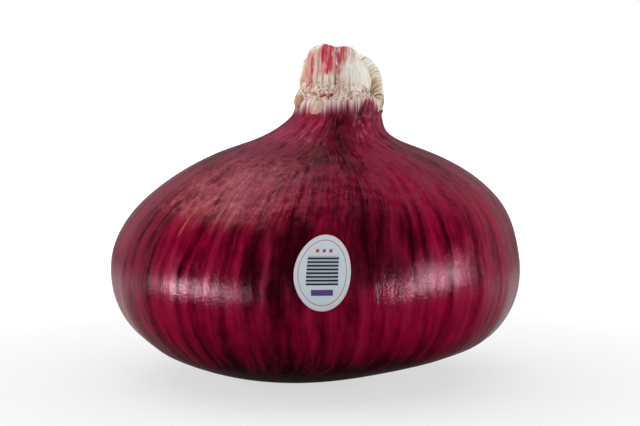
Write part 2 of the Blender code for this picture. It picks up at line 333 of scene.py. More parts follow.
def add_mesh(name, points, faces, share_of_corner, values, finish):
    """A new smooth object: points, faces as lists of corners, the map 'skin' and attributes at each point."""
    mesh = bpy.data.meshes.new(name)
    mesh.from_pydata(points.reshape(-1, 3).tolist(), [], faces)
    layer = mesh.uv_layers.new(name="skin")
    layer.data.foreach_set("uv", share_of_corner.astype(np.float32).ravel())
    for key, array in values.items():
        stored = mesh.attributes.new(key, "FLOAT", "POINT")
        stored.data.foreach_set("value", np.asarray(array, np.float32).ravel())
    mesh.shade_smooth()
    mesh.materials.append(finish)
    piece = bpy.data.objects.new(name, mesh)
    bpy.context.scene.collection.objects.link(piece)
    return piece


def grid_quads(rows, columns, cells):
    """The quads of a grid of points with this many cells round, and the column and row at their corners.

    With as many cells as columns, the last cell joins the last column to the first.
    """
    row, column = np.meshgrid(np.arange(rows - 1), np.arange(cells), indexing="ij")
    here, beside = row * columns + column, row * columns + (column + 1) % columns
    quads = np.stack([here, beside, beside + columns, here + columns], -1).reshape(-1, 4)
    corner_columns = np.stack([column, column + 1, column + 1, column], -1)
    return quads, corner_columns, np.stack([row, row, row + 1, row + 1], -1)


def ring_piece(name, rings, up_share, values, finish):
    """A closed piece of rings of points, lowest first, drawn in to a pole at the middle of each end ring.

    rings is (rows, steps, 3), up_share the map's v for each row, and values has arrays of (rows, steps).
    """
    rows, steps, _ = rings.shape
    quads, corner_steps, corner_rows = grid_quads(rows, steps, steps)
    around = np.arange(steps)
    beside = (around + 1) % steps
    pole, top = rows * steps, (rows - 1) * steps
    low_fan = np.stack([np.full(steps, pole), beside, around], -1)
    top_fan = np.stack([np.full(steps, pole + 1), top + around, top + beside], -1)
    low_u = np.stack([around + 0.5, around + 1, around], -1) / steps
    top_u = low_u[:, [0, 2, 1]]
    maps = (
        (corner_steps / steps, up_share[corner_rows]),
        (low_u, np.full_like(low_u, up_share[0])),
        (top_u, np.full_like(top_u, up_share[-1])),
    )
    share_of_corner = np.concatenate([np.stack(pair, -1).reshape(-1, 2) for pair in maps])
    points = np.concatenate([rings.reshape(-1, 3), [rings[0].mean(0)], [rings[-1].mean(0)]])
    faces = quads.tolist() + low_fan.tolist() + top_fan.tolist()
    ends = {key: [array[0].mean(), array[-1].mean()] for key, array in values.items()}
    closed = {key: np.concatenate([np.ravel(array), ends[key]]) for key, array in values.items()}
    return add_mesh(name, points, faces, share_of_corner, closed, finish)


def sheet_piece(name, grid, values, thickness, finish):
    """An open grid of points, rows going up and columns anticlockwise, given its thickness inwards."""
    rows, columns, _ = grid.shape
    quads, corner_columns, corner_rows = grid_quads(rows, columns, columns - 1)
    shares = np.stack([corner_columns / (columns - 1), corner_rows / (rows - 1)], -1)
    piece = add_mesh(name, grid, quads.tolist(), shares, values, finish)
    shell = piece.modifiers.new("thickness", "SOLIDIFY")
    shell.thickness = thickness
    shell.offset = -1.0
    shell.use_even_offset = False
    return piece


def belong(piece, node):
    """The piece stands for the frame's node, whose part it hides, and rides on its one body."""
    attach(piece, "root")
    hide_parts(node)


class Wiring:
    """Adds shader nodes to a node tree and joins them up."""

    def __init__(self, tree):
        self.tree = tree

    def feed(self, socket, value):
        """Joins another node's socket to this one, or sets a plain value on it."""
        if isinstance(value, bpy.types.NodeSocket):
            self.tree.links.new(value, socket)
        else:
            socket.default_value = value

    def node(self, kind, inputs, **settings):
        """A new node with these settings, and its inputs fed by their names or places."""
        made = self.tree.nodes.new("ShaderNode" + kind)
        for key, value in settings.items():
            setattr(made, key, value)
        for key, value in inputs.items():
            self.feed(made.inputs[key], value)
        return made

    def maths(self, operation, *values):
        return self.node("Math", dict(enumerate(values)), operation=operation).outputs[0]

    def times(self, first, second):
        return self.maths("MULTIPLY", first, second)

    def centred(self, noise):
        """The noise less its middle value."""
        return self.maths("SUBTRACT", noise, 0.5)

    def total(self, *weighted):
        """The sum of value times weight over the pairs."""
        result = 0.0
        for value, weight in weighted:
            result = self.maths("MULTIPLY_ADD", value, weight, result)
        return result

    def length(self, x, y):
        return self.maths("SQRT", self.total((self.times(x, x), 1.0), (self.times(y, y), 1.0)))

    def step(self, value, low, high, start=0.0, end=1.0):
        """start below low, end above high, and a smooth step between."""
        inputs = {"Value": value, "From Min": low, "From Max": high, "To Min": start, "To Max": end}
        return self.node("MapRange", inputs, interpolation_type="SMOOTHSTEP").outputs["Result"]

    def mix(self, share, first, second):
        """The first colour, and the second as the share goes to 1."""
        both = [(*colour, 1.0) if isinstance(colour, tuple) else colour for colour in (first, second)]
        inputs = {0: share, 6: both[0], 7: both[1]}
        return self.node("Mix", inputs, data_type="RGBA", clamp_factor=True).outputs[2]

    def ramp(self, value, *stops):
        """A colour for the value, from stops of place and colour."""
        made = self.node("ValToRGB", {0: value})
        elements = made.color_ramp.elements
        while len(elements) < len(stops):
            elements.new(0.5)
        for element, (position, colour) in zip(elements, stops):
            element.position = position
            element.color = (*colour, 1.0)
        return made.outputs["Color"]

    def noise(self, vector, scale=1.0, detail=2.0, roughness=0.5):
        inputs = {"Vector": vector, "Scale": scale, "Detail": detail, "Roughness": roughness}
        return self.node("TexNoise", inputs).outputs["Fac"]

    def solid_noise(self, scale, detail=2.0, roughness=0.5):
        """Noise that runs through the piece, in its own coordinates."""
        return self.noise(self.object_place(), scale, detail, roughness)

    def round_noise(self, turn, up_share, reach, climb, detail=2.0, roughness=0.5):
        """Noise on a cylinder of this reach, so that the pattern closes on itself round the onion."""
        x = self.times(self.maths("COSINE", turn), reach)
        y = self.times(self.maths("SINE", turn), reach)
        return self.noise(self.vector(x, y, self.times(up_share, climb)), 1.0, detail, roughness)

    def attribute(self, name):
        return self.node("Attribute", {}, attribute_name=name).outputs["Fac"]

    def vector(self, *parts):
        return self.node("CombineXYZ", dict(enumerate(parts))).outputs[0]

    def parts(self, vector):
        """The vector's x, y and z."""
        return tuple(self.node("SeparateXYZ", {0: vector}).outputs)

    def skin_map(self):
        """The map's u and v."""
        return self.parts(self.node("UVMap", {}, uv_map="skin").outputs[0])[:2]

    def object_place(self):
        return self.node("TexCoord", {}).outputs["Object"]


class Finish(Wiring):
    """A new material and the nodes that feed its shader."""

    def __init__(self, name):
        self.material = bpy.data.materials.new(name)
        self.material.use_nodes = True
        super().__init__(self.material.node_tree)
        self.shader = self.tree.nodes["Principled BSDF"]

    def surface(self, colour, roughness, specular):
        given = {"Base Color": colour, "Roughness": roughness, "Specular IOR Level": specular}
        for key, value in given.items():
            self.feed(self.shader.inputs[key], value)

    def bump(self, height, distance, strength):
        made = self.node("Bump", {"Strength": strength, "Distance": distance, "Height": height})
        self.feed(self.shader.inputs["Normal"], made.outputs["Normal"])


# Colours laid over the streaks of the skin and the fibres of the leaf bases.
# Partly the dull mauve outer skin and partly painted sheen: the grey-mauve shine of the shoulders and of the
# far sides.
MAUVE_SKIN_AND_SHEEN = (0.205, 0.030, 0.060)
# Partly worn skin and partly painted sheen: the dusty pink of the patch high at the left, and its palest
# specks, which are painted glints.
WORN_AND_SHEEN_PINK = (0.345, 0.052, 0.070)
PALE_WEAR_AND_GLINT = (0.48, 0.19, 0.19)
GOLD = (0.40, 0.105, 0.058)
# Pale pink flecks under the neck: partly the skin's own, partly painted highlights on the folds there.
FLECK_AND_GLINT_PINK = (0.40, 0.045, 0.095)
WASH_PINK = (0.74, 0.20, 0.18)
# Dark cracks and edges, and painted shade in the creases, pleat troughs, pits and hollows of the leaf bases.
DARK_MARK_AND_SHADE_BROWN = (0.21, 0.085, 0.050)


def marked_red(w, red, worn_and_sheen, texture, specks):
    """The red with the worn patch (partly painted sheen, its palest specks painted glints), the golden veins
    and the pink flecks (partly painted highlights on the folds) laid over it.
    """
    red = w.mix(worn_and_sheen, red, WORN_AND_SHEEN_PINK)
    palest_wear_and_glint = w.times(w.attribute("worn_and_sheen"), w.step(texture, 0.98, 1.25, 0.0, 0.6))
    red = w.mix(palest_wear_and_glint, red, PALE_WEAR_AND_GLINT)
    red = w.mix(w.times(w.attribute("golden"), 0.75), red, GOLD)
    # Pink flecks under the neck, partly painted highlights on the folds.
    return w.mix(w.times(w.attribute("flecks_and_fold_glints"), w.step(specks, 0.50, 0.66)), red, FLECK_AND_GLINT_PINK)


def faded_edge(w, straight, v):
    """How bare of red the skin is near its torn top edge, in ragged upright lines, and its colour there."""
    upright = w.maths("ADD", straight, w.attribute("twist"))
    lines = w.round_noise(upright, v, 19.0, 2.0, 3.0, 0.7)
    faded = w.attribute("fade")
    ragged = w.times(w.centred(lines), w.step(faded, 0.0, 0.4))
    bare = w.step(w.total((faded, 1.0), (ragged, 1.3)), 0.04, 0.96)
    pinkness = w.total((lines, 1.4), (faded, 0.46), (1.0, -0.49))
    cream = w.ramp(
        pinkness,
        (0.28, (0.42, 0.12, 0.15)),
        (0.50, (0.66, 0.40, 0.39)),
        (0.70, (0.84, 0.76, 0.70)),
    )
    return bare, cream


def skin_finish():
    """Dry red skin: streaks from the root to the neck in crimson and maroon, darker low down as painted
    shade, a dusty pink patch high at the left that is partly worn skin and partly painted sheen, golden
    veins, a mauve layer that is partly painted sheen, pink flecks under the neck that are partly painted
    highlights, and a torn top edge that fades to cream."""
    w = Finish("dry_red_skin")
    u, v = w.skin_map()
    near_neck = w.attribute("near_neck")
    straight = w.times(u, TURN)

    def by_height(belly, neck):
        """A weight that goes from its value on the belly to its value under the neck."""
        return w.step(near_neck, 0.0, 1.0, belly, neck)

    drift = w.centred(w.round_noise(straight, v, 3.0, 3.0, 1.0))
    wiggle = w.centred(w.round_noise(straight, v, 13.0, 16.0))
    turn = w.total((straight, 1.0), (drift, 0.14), (wiggle, by_height(0.05, 0.26)))
    sectors = w.round_noise(turn, v, 5.0, 2.4, 1.0)
    stripes = w.round_noise(turn, v, 21.0, 4.5, 1.5)
    dashes = w.round_noise(turn, v, 44.0, 20.0, 3.0, 0.6)
    threads = w.round_noise(turn, v, 105.0, 34.0, 2.0, 0.6)
    grain = w.solid_noise(2100.0)
    blotches = w.solid_noise(150.0, 4.0, 0.6)
    mottle = w.centred(w.solid_noise(480.0, 4.0, 0.65))
    depth = w.total(
        (stripes, by_height(1.25, 0.28)),
        (dashes, by_height(0.80, 0.34)),
        (threads, by_height(0.42, 0.12)),
        (sectors, 0.45),
        (blotches, by_height(0.75, 1.15)),
        (mottle, by_height(0.15, 0.85)),
        # The streaks are the skin's own, but for the pale ones just under the neck, which are painted
        # highlights.
        (w.attribute("streak"), 0.20),
        # The shades: the skin's own darker and lighter tone, with painted shade low down and painted light on
        # the sides and under the neck.
        (w.attribute("shade"), -0.42),
        (near_neck, 0.56),
        (1.0, -1.27),
    )
    red = w.ramp(
        depth,
        (0.08, (0.029, 0.0002, 0.003)),
        (0.34, (0.085, 0.0003, 0.009)),
        (0.58, (0.176, 0.0003, 0.019)),
        (0.80, (0.255, 0.0008, 0.029)),
        (1.00, (0.300, 0.0022, 0.037)),
    )
    # Partly the dull mauve outer skin and partly painted sheen: the red goes grey-mauve in patches on the
    # shoulders and the far sides, where the skin shines.
    film = w.round_noise(turn, v, 38.0, 11.0, 3.0, 0.65)
    mauve_and_sheen_patches = w.step(w.total((film, 0.9), (blotches, 0.5), (threads, 0.4), (mottle, 0.9)), 0.76, 1.04)
    red = w.mix(w.times(w.attribute("mauve_skin_and_sheen"), mauve_and_sheen_patches), red, MAUVE_SKIN_AND_SHEEN)
    # Partly worn skin and partly painted sheen: the patch high at the left, mottled; its palest specks are
    # painted glints.
    texture = w.total((threads, 0.7), (film, 0.5), (blotches, 0.6), (mottle, 1.1))
    worn_and_sheen = w.times(w.attribute("worn_and_sheen"), w.step(texture, 0.68, 1.12))
    specks = w.round_noise(turn, v, 26.0, 62.0)
    red = marked_red(w, red, worn_and_sheen, texture, specks)
    bare, cream = faded_edge(w, straight, v)
    roughness = w.total(
        (stripes, 0.22),
        (dashes, 0.12),
        (blotches, 0.12),
        (worn_and_sheen, 0.10),
        (bare, 0.32),
        (near_neck, 0.15),
        (1.0, -0.055),
    )
    specular = w.total((stripes, 1.5), (dashes, 0.7), (w.attribute("dull"), -0.34), (1.0, -0.58))
    w.surface(w.mix(bare, red, cream), roughness, specular)
    w.shader.inputs["Specular Tint"].default_value = (1.0, 0.62, 0.80, 1.0)
    relief = w.total(
        (stripes, by_height(0.60, 0.16)),
        (dashes, by_height(0.24, 0.10)),
        (threads, 0.16),
        (mottle, 0.30),
        (grain, 0.60),
    )
    w.bump(relief, 0.00035, 0.42)
    return w.material


def leaf_finish():
    """Dried leaf bases: cream fibres, browned to tan in places, a pink wash, crimson streaks, dark cracks and
    edges, and painted shade in creases, pleat troughs, pits and hollows.
    """
    w = Finish("dried_leaf_bases")
    across, climb = w.attribute("across"), w.attribute("climb")

    def fibre_noise(across_scale, climb_scale, detail, roughness=0.5):
        """Noise drawn out along the leaf base, in its own distances across and up."""
        stretched = w.vector(w.times(across, across_scale), w.times(climb, climb_scale), 0.0)
        return w.noise(stretched, 1.0, detail, roughness)

    fibres = fibre_noise(1500.0, 70.0, 3.0, 0.6)
    hairs = fibre_noise(3600.0, 160.0, 1.0)
    bands = fibre_noise(420.0, 60.0, 2.0)
    speckle = fibre_noise(700.0, 260.0, 3.0, 0.65)
    blotches = w.solid_noise(420.0, 3.0)
    grain = w.solid_noise(2600.0)
    # The tan browns the fibres: the leaf's own tan, and painted shade in hollows, pleat troughs and inside
    # the wall.
    browned = (w.attribute("tan"), -0.75)
    tone = w.total((fibres, 1.25), (hairs, 0.60), (bands, 0.40), (blotches, 0.40), browned, (1.0, -0.62))
    pale = w.ramp(
        tone,
        (0.02, (0.24, 0.145, 0.065)),
        (0.28, (0.46, 0.34, 0.19)),
        (0.48, (0.76, 0.66, 0.50)),
        (0.66, (0.93, 0.90, 0.83)),
    )
    uneven = w.total((fibres, 1.7), (hairs, 1.5), (bands, 1.0), (speckle, 1.0), (1.0, -2.60))
    wash = w.times(w.attribute("pink"), w.step(uneven, -0.55, 0.25))
    colour = w.mix(wash, pale, WASH_PINK)
    marked = w.attribute("crimson")
    stain = w.step(w.total((marked, 1.0), (w.times(uneven, w.step(marked, 0.0, 0.3)), 1.0)), 0.15, 0.85)
    red = w.ramp(
        w.total((fibres, 0.4), (hairs, 0.4), (speckle, 0.2)),
        (0.34, (0.70, 0.12, 0.13)),
        (0.50, (0.62, 0.035, 0.10)),
        (0.66, (0.44, 0.010, 0.065)),
    )
    colour = w.mix(stain, colour, red)
    # Painted shade: creases, pleat troughs, pits and the inside of the wall are darkened, along with real
    # cracks and the dark edges of the scraps.
    dark_mark_and_shade_mask = w.times(w.attribute("crease"), w.step(speckle, 0.25, 0.60, 1.0, 0.45))
    colour = w.mix(dark_mark_and_shade_mask, colour, DARK_MARK_AND_SHADE_BROWN)
    w.surface(colour, w.total((blotches, 0.2), (1.0, 0.58)), 0.3)
    w.bump(w.total((fibres, 0.9), (grain, 0.30), (speckle, 0.30)), 0.00045, 0.7)
    return w.material


def root_finish():
    """Trimmed roots on their disc: matt tan, darker in random blotches."""
    w = Finish("dried_roots")
    blotches = w.solid_noise(900.0, 4.0)
    colour = w.ramp(
        blotches,
        (0.30, (0.12, 0.065, 0.030)),
        (0.52, (0.34, 0.22, 0.12)),
        (0.72, (0.56, 0.43, 0.28)),
    )
    w.surface(colour, w.total((blotches, 0.2), (1.0, 0.7)), 0.5)
    w.bump(w.total((w.solid_noise(3200.0), 0.6), (blotches, 0.6)), 0.0003, 0.6)
    return w.material


# The sticker's paper and plain print. A block has its middle x, middle y, half width and half height, from
# -1 to 1, and the red line its distance from the middle and its half width.
PAPER_WHITE = (0.57, 0.67, 0.72)
PAPER_EDGE = (0.66, 0.60, 0.63)
PRINT_RED = (0.52, 0.030, 0.050)
PRINT_PURPLE = (0.085, 0.035, 0.22)
PRINT_BLACK = (0.012, 0.014, 0.018)
PRINT_GREY = (0.26, 0.31, 0.34)
RED_LINE = (0.85, 0.015)
RED_MARKS = [(x, 0.56, 0.060, 0.045) for x in (-0.24, 0.0, 0.24)]
STRIPED_PANEL = (0.0, 0.05, 0.56, 0.38)
STRIPE_COUNT = 8
PURPLE_BAND = (0.0, -0.52, 0.38, 0.075)


def sticker_finish():
    """Coated white paper with a plain print: a red line, red marks, a striped panel and a purple band."""
    w = Finish("sticker_paper")
    x, y = (w.total((share, 2.0), (1.0, -1.0)) for share in w.skin_map())

    def block(middle_x, middle_y, half_x, half_y):
        """1 inside this rectangle and 0 outside it."""
        return w.times(w.maths("COMPARE", x, middle_x, half_x), w.maths("COMPARE", y, middle_y, half_y))

    rim = w.length(x, y)
    colour = w.mix(w.step(rim, 0.93, 0.97), PAPER_WHITE, PAPER_EDGE)
    colour = w.mix(w.times(w.maths("COMPARE", rim, *RED_LINE), 0.7), colour, PRINT_RED)
    per_height = STRIPE_COUNT / (2 * STRIPED_PANEL[3])
    shift = STRIPE_COUNT - STRIPED_PANEL[1] * per_height
    stripe = w.maths("FRACT", w.total((y, per_height), (1.0, shift)))
    panel = block(*STRIPED_PANEL)
    colour = w.mix(w.times(panel, 0.55), colour, PRINT_GREY)
    colour = w.mix(w.times(panel, w.maths("LESS_THAN", stripe, 0.5)), colour, PRINT_BLACK)
    colour = w.mix(block(*PURPLE_BAND), colour, PRINT_PURPLE)
    for mark in RED_MARKS:
        colour = w.mix(block(*mark), colour, PRINT_RED)
    grain = w.solid_noise(2400.0)
    w.surface(colour, w.total((grain, 0.12), (1.0, 0.36)), 0.4)
    w.bump(grain, 0.00004, 0.4)
    return w.material


def open_dip(angle):
    """1 at the right, where the skin's edge dips at the neck's open side, and 0 elsewhere."""
    return 1 - beyond(angle, DIP_ANGLE, *DIP_REACH)


def skin_edge(angle):
    """Height of the skin's torn top edge: ragged all round, with the tongue and the dip at the right."""
    share = angle / TURN
    torn = 0.0007 * ripple(share, 11, 21) + 0.0005 * ripple(share, 37, 22)
    fringe = 0.00025 * ripple(share, 120, 23)
    tongue = hump(angle, TONGUE_ANGLE, TONGUE_HALF_WIDTH)
    return SKIN_TOP + torn + fringe + TONGUE_HEIGHT * tongue - DIP_DEPTH * open_dip(angle)


def right_swell(angle, height):
    """How far the skin and the leaf base under it stand out at the right of the neck's foot."""
    return 0.0011 * hump(angle, -10, 80) * between(height, 0.0728, 0.0762, 0.0050)


def make_bulb(finish):
    """The bulb: its outline turned round, ribbed and veined, closed over the hollow and the socket.

    A point of the outside is at the outline's radius plus the heights of the ribs and the swell, moved
    square to the outline by the veins. Above the outline, the skin's edge goes up to skin_edge(angle) and
    turns in to the socket. The rings by the join are smoothed: each goes half way to the middle of its
    neighbours, JOIN_PASSES times over.
    """
    angle = ring_angles(BULB_STEPS)
    outside = smooth_curve(BULB_OUTLINE, BULB_ROWS)
    radius, height = outside[:, :1], outside[:, 1:]
    slope = np.gradient(outside, axis=0)
    slope /= np.linalg.norm(slope, axis=1, keepdims=True)
    veins = VEIN_DEPTH * fine_veins(angle, height) * ease(height, 0.0005, 0.006)
    rib = rib_height(angle, radius, height)
    swell = right_swell(angle, height)
    outer = place(angle, radius + rib + swell + veins * slope[:, 1:], height - veins * slope[:, :1])
    lowest = place(angle, HOLLOW_OUTLINE[:, :1], HOLLOW_OUTLINE[:, 1:])
    edge = skin_edge(angle)
    up = ladder(COLLAR_ROWS + 1)[1:]
    collar_height = COLLAR_TOP[1] + up * (edge - COLLAR_TOP[1])
    calm = 1 - 0.9 * hump(angle, DIP_ANGLE, DIP_REACH[1])
    flare = 0.00035 * ripple(angle / TURN, 17, 31) * up * calm
    band = 4 * (SKIN_BAND_RADIUS - SKIN_TOP_RADIUS) * up * (1 - up)
    collar_radius = COLLAR_TOP[0] + (SKIN_TOP_RADIUS - COLLAR_TOP[0]) * up + flare + band
    collar_radius = collar_radius + right_swell(angle, collar_height)
    wave = 0.00012 * fine_veins(angle, collar_height) * up
    wave = wave + (rib[-1:] + veins[-1:] * slope[-1:, 1:]) * (1 - ease(up, 0, 1))
    collar = place(angle, collar_radius + wave, collar_height)
    socket = [np.full_like(edge, level) for level in SOCKET_LEVELS]
    wall_height = np.concatenate([edge, edge - 0.0005, *socket])
    inside = place(angle, collar_radius[-1:] - np.array(SOCKET_INSETS)[:, None], wall_height)
    rings = np.concatenate([lowest, outer, collar, inside])
    join = len(lowest) + BULB_ROWS
    first, last = join - JOIN_ROWS, join + JOIN_ROWS + 1
    for _ in range(JOIN_PASSES):
        beside = rings[first - 1 : last - 1] + rings[first + 1 : last + 1]
        rings[first:last] = (beside + 2 * rings[first:last]) / 4
    lengths = np.linalg.norm(np.diff(rings[:, 0], axis=0), axis=1)
    up_share = np.concatenate([[0.0], np.cumsum(lengths)]) / lengths.sum()
    heights = rings[..., 2]
    values = skin_values(np.broadcast_to(angle, heights.shape), heights, len(lowest), join + COLLAR_ROWS + 1)
    upright = np.arctan2(rings[..., 1], rings[..., 0] - lean(SKIN_TOP))
    values["twist"] = (upright - angle + math.pi) % TURN - math.pi
    bulb = ring_piece("bulb_skin", rings, up_share, values, finish)
    belong(bulb, "bulb")


def skin_values(angle, height, first, last):
    """The skin's attributes at each point: sums of soft boxes for its streaks, shades, worn patch and golden
    veins, and easy steps in angle and height for its faded edge, mauve layer, flecks and dull front. The pale
    streaks and flecks under the neck are partly painted highlights, the worn patch and the mauve layer are
    partly painted sheen, and the shades hold painted shade low down and painted light on the sides.

    The rings before the first are in the hollow, where nothing fades, and those after the last in the socket.
    """
    share = angle / TURN
    up_share = height / 0.08
    degrees = np.degrees(angle) + 1.2 * patches(share, up_share, 9, 5, 41)

    def spots(marks, soft):
        return soft_box(degrees, height, marks, soft, (0.35, 1.5))

    # Painted shade: the skin darkens towards its underside, where little light reaches; the patches are
    # random tone.
    low_shade = 0.75 * (1 - ease(height, 0.002, 0.022)) + 0.22 * patches(share, up_share, 7, 4, 42)
    golden = spots(GOLDEN_VEINS, 0.002) * ease(patches(share, up_share, 90, 24, 43), -0.7, 0.4)
    tongue = ease(hump(angle, TONGUE_ANGLE, TONGUE_HALF_WIDTH), 0.1, 0.7)
    right = hump(angle, -66, 40)
    start = 0.0721 + 0.0004 * ripple(share, 13, 44) + 0.0042 * tongue + 0.0002 * right
    start = start + 0.0022 * open_dip(angle)
    fade = ease(height, start, start + 0.0066 + 0.0016 * right - 0.0040 * tongue)
    row = np.arange(height.shape[0])[:, None]
    fade = np.where(row < first, 0.0, np.where(row > last, 1.0, fade))
    # Partly the dull mauve outer skin and partly painted sheen: strongest high on the shoulders and on the
    # sides away from the front, weaker at the front under the neck and on the tongue.
    high = ease(height, 0.048, 0.058)
    shoulder = ease(height, 0.056, 0.066)
    mauve_skin_and_sheen = 0.60 * high + 0.36 * beyond(angle, -90, 40, 76) * (1 - high)
    mauve_skin_and_sheen = mauve_skin_and_sheen * (1 - 0.85 * hump(angle, -84, 62) * shoulder)
    mauve_skin_and_sheen = mauve_skin_and_sheen * (1 - 0.8 * tongue * ease(height, 0.070, 0.074))
    # Pale pink flecks and strands under the neck, partly painted highlights where the folds shine; brightest
    # on the fold at the right.
    flecks_and_fold_glints = 0.75 * ease(height, 0.0645, 0.0680) * (1 - 0.7 * hump(angle, -82, 30))
    flecks_and_fold_glints = flecks_and_fold_glints + 0.7 * hump(angle, -50, 22) * between(height, 0.0690, 0.0722, 0.0015)
    flecks_and_fold_glints = flecks_and_fold_glints + 0.4 * hump(angle, -106, 20) * between(height, 0.0680, 0.0715, 0.0015)
    return {
        "streak": spots(SKIN_STREAKS, 0.008),
        "shade": spots(SHADES, 0.010) + low_shade,
        # The patch high at the left: partly worn skin, partly painted sheen.
        "worn_and_sheen": spots((WORN_AND_SHEEN_PATCH,), 0.005) + spots((WORN_AND_SHEEN_EDGE,), 0.003),
        "golden": np.clip(golden, 0, 1),
        "fade": fade,
        "near_neck": ease(height, 0.052, 0.069),
        "mauve_skin_and_sheen": mauve_skin_and_sheen,
        "dull": hump(angle, -84, 74) * shoulder,
        "flecks_and_fold_glints": flecks_and_fold_glints,
    }


def oval_grid(columns, rows):
    """A square grid drawn in to an oval, in half widths and half heights: the point at u, v goes to u times
    the root of 1 - v^2/2 across, and v times the root of 1 - u^2/2 up."""
    u, v = np.meshgrid(np.linspace(-1, 1, columns), np.linspace(-1, 1, rows))
    return u * np.sqrt(1 - v * v / 2), v * np.sqrt(1 - u * u / 2)


def make_sticker(finish):
    """The sticker: an oval grid bent to follow the belly, held off it by its lift, and given its thickness.

    Its height runs along the outline, and its width round the belly at the height of its middle.
    """
    x, y = oval_grid(61, 81)
    middle = np.interp(STICKER_MIDDLE, FINE_OUTLINE[:, 1], OUTLINE_LENGTH)
    belly = np.interp(STICKER_MIDDLE, FINE_OUTLINE[:, 1], FINE_OUTLINE[:, 0])
    along = middle + y * STICKER_HEIGHT / 2
    angle = STICKER_ANGLE + x * STICKER_WIDTH / 2 / belly
    radius = np.interp(along, OUTLINE_LENGTH, FINE_OUTLINE[:, 0])
    height = np.interp(along, OUTLINE_LENGTH, FINE_OUTLINE[:, 1])
    out = np.interp(along + 0.0005, OUTLINE_LENGTH, FINE_OUTLINE[:, 0]) - radius
    rise = np.interp(along + 0.0005, OUTLINE_LENGTH, FINE_OUTLINE[:, 1]) - height
    size = np.hypot(out, rise)
    lift = STICKER_LIFT + 0.8 * rib_height(angle, radius, height)
    grid = place(angle, radius + lift * rise / size, height - lift * out / size)
    sticker = sheet_piece("oval_sticker", grid, {}, STICKER_THICKNESS, finish)
    layer = sticker.data.uv_layers["skin"]
    corners = np.zeros(len(sticker.data.loops), int)
    sticker.data.loops.foreach_get("vertex_index", corners)
    flat = np.stack([(x.ravel() + 1) / 2, (y.ravel() + 1) / 2], -1)[corners]
    layer.data.foreach_set("uv", flat.astype(np.float32).ravel())
    belong(sticker, "sticker")


# The neck's thick outer leaf base: degrees round it, height of its torn rim, and how much lower inside.
RIM_HEIGHTS = (
    (-180, 0.0880, 0.0010),
    (-140, 0.0895, 0.0010),
    (-100, 0.0895, 0.0010),
    (-70, 0.0870, 0.0010),
    (-52, 0.0790, 0.0005),
    (-35, 0.0765, 0.0005),
    (-15, 0.0789, 0.0016),
    (0, 0.0822, 0.0020),
    (20, 0.0856, 0.0020),
    (40, 0.0884, 0.0017),
    (60, 0.0900, 0.0006),
    (90, 0.0905, 0.0006),
    (135, 0.0900, 0.0010),
    (180, 0.0880, 0.0010),
)
WALL_OUTSIDE = 0.0115
WALL_INSIDE = 0.0080
NECK_BOTTOM = 0.0690
WALL_FLOOR = 0.0760
PLEATS = 66

# The core, from low to high: radius and height of its side and rounded top.
CORE_OUTLINE = (
    (0.0079, 0.0755),
    (0.0079, 0.0800),
    (0.0078, 0.0828),
    (0.0069, 0.0858),
    (0.0057, 0.0880),
    (0.0040, 0.0897),
    (0.0018, 0.0905),
)
CORE_ROWS = 70


def rim_line(angle, column):
    """A column of RIM_HEIGHTS round the neck: a straight line from each stated value to the next."""
    degrees = (np.degrees(angle) + 180) % 360 - 180
    result = np.full_like(degrees, RIM_HEIGHTS[0][column])
    for low, high in zip(RIM_HEIGHTS, RIM_HEIGHTS[1:]):
        share = np.clip((degrees - low[0]) / (high[0] - low[0]), 0, 1)
        inside = (degrees >= low[0]) & (degrees <= high[0])
        result = np.where(inside, low[column] + (high[column] - low[column]) * share, result)
    return result


def soft_box(degrees, height, marks, soft=0.0022, edges=(0.5, 1.4)):
    """The sum of soft-edged boxes: degrees round, half width in degrees, lowest and highest height, strength.

    A box fades between these two edges, in half widths from its middle, and over soft above and below it.
    """
    total = np.zeros(np.broadcast_shapes(np.shape(degrees), np.shape(height)))
    for middle, half, low, high, strength in marks:
        away = np.abs((degrees - middle + 180) % 360 - 180)
        beside = ease(away, half * edges[0], half * edges[1])
        total += strength * (1 - beside) * between(height, low, high, soft)
    return total


def leaf_values(angle, height, **given):
    """The attributes that the leaf finish reads: the distance round the neck and the height, which its
    fibres follow, and how crimson, pink and tan it is and how dark its cracks, edges and painted shade are."""
    shape = np.broadcast_shapes(angle.shape, height.shape)
    values = {"across": angle * WALL_OUTSIDE, "climb": height}
    for key in ("crimson", "pink", "tan", "crease"):
        values[key] = np.clip(given.get(key, 0.0), 0, 1)
    return {key: np.broadcast_to(array, shape) for key, array in values.items()}


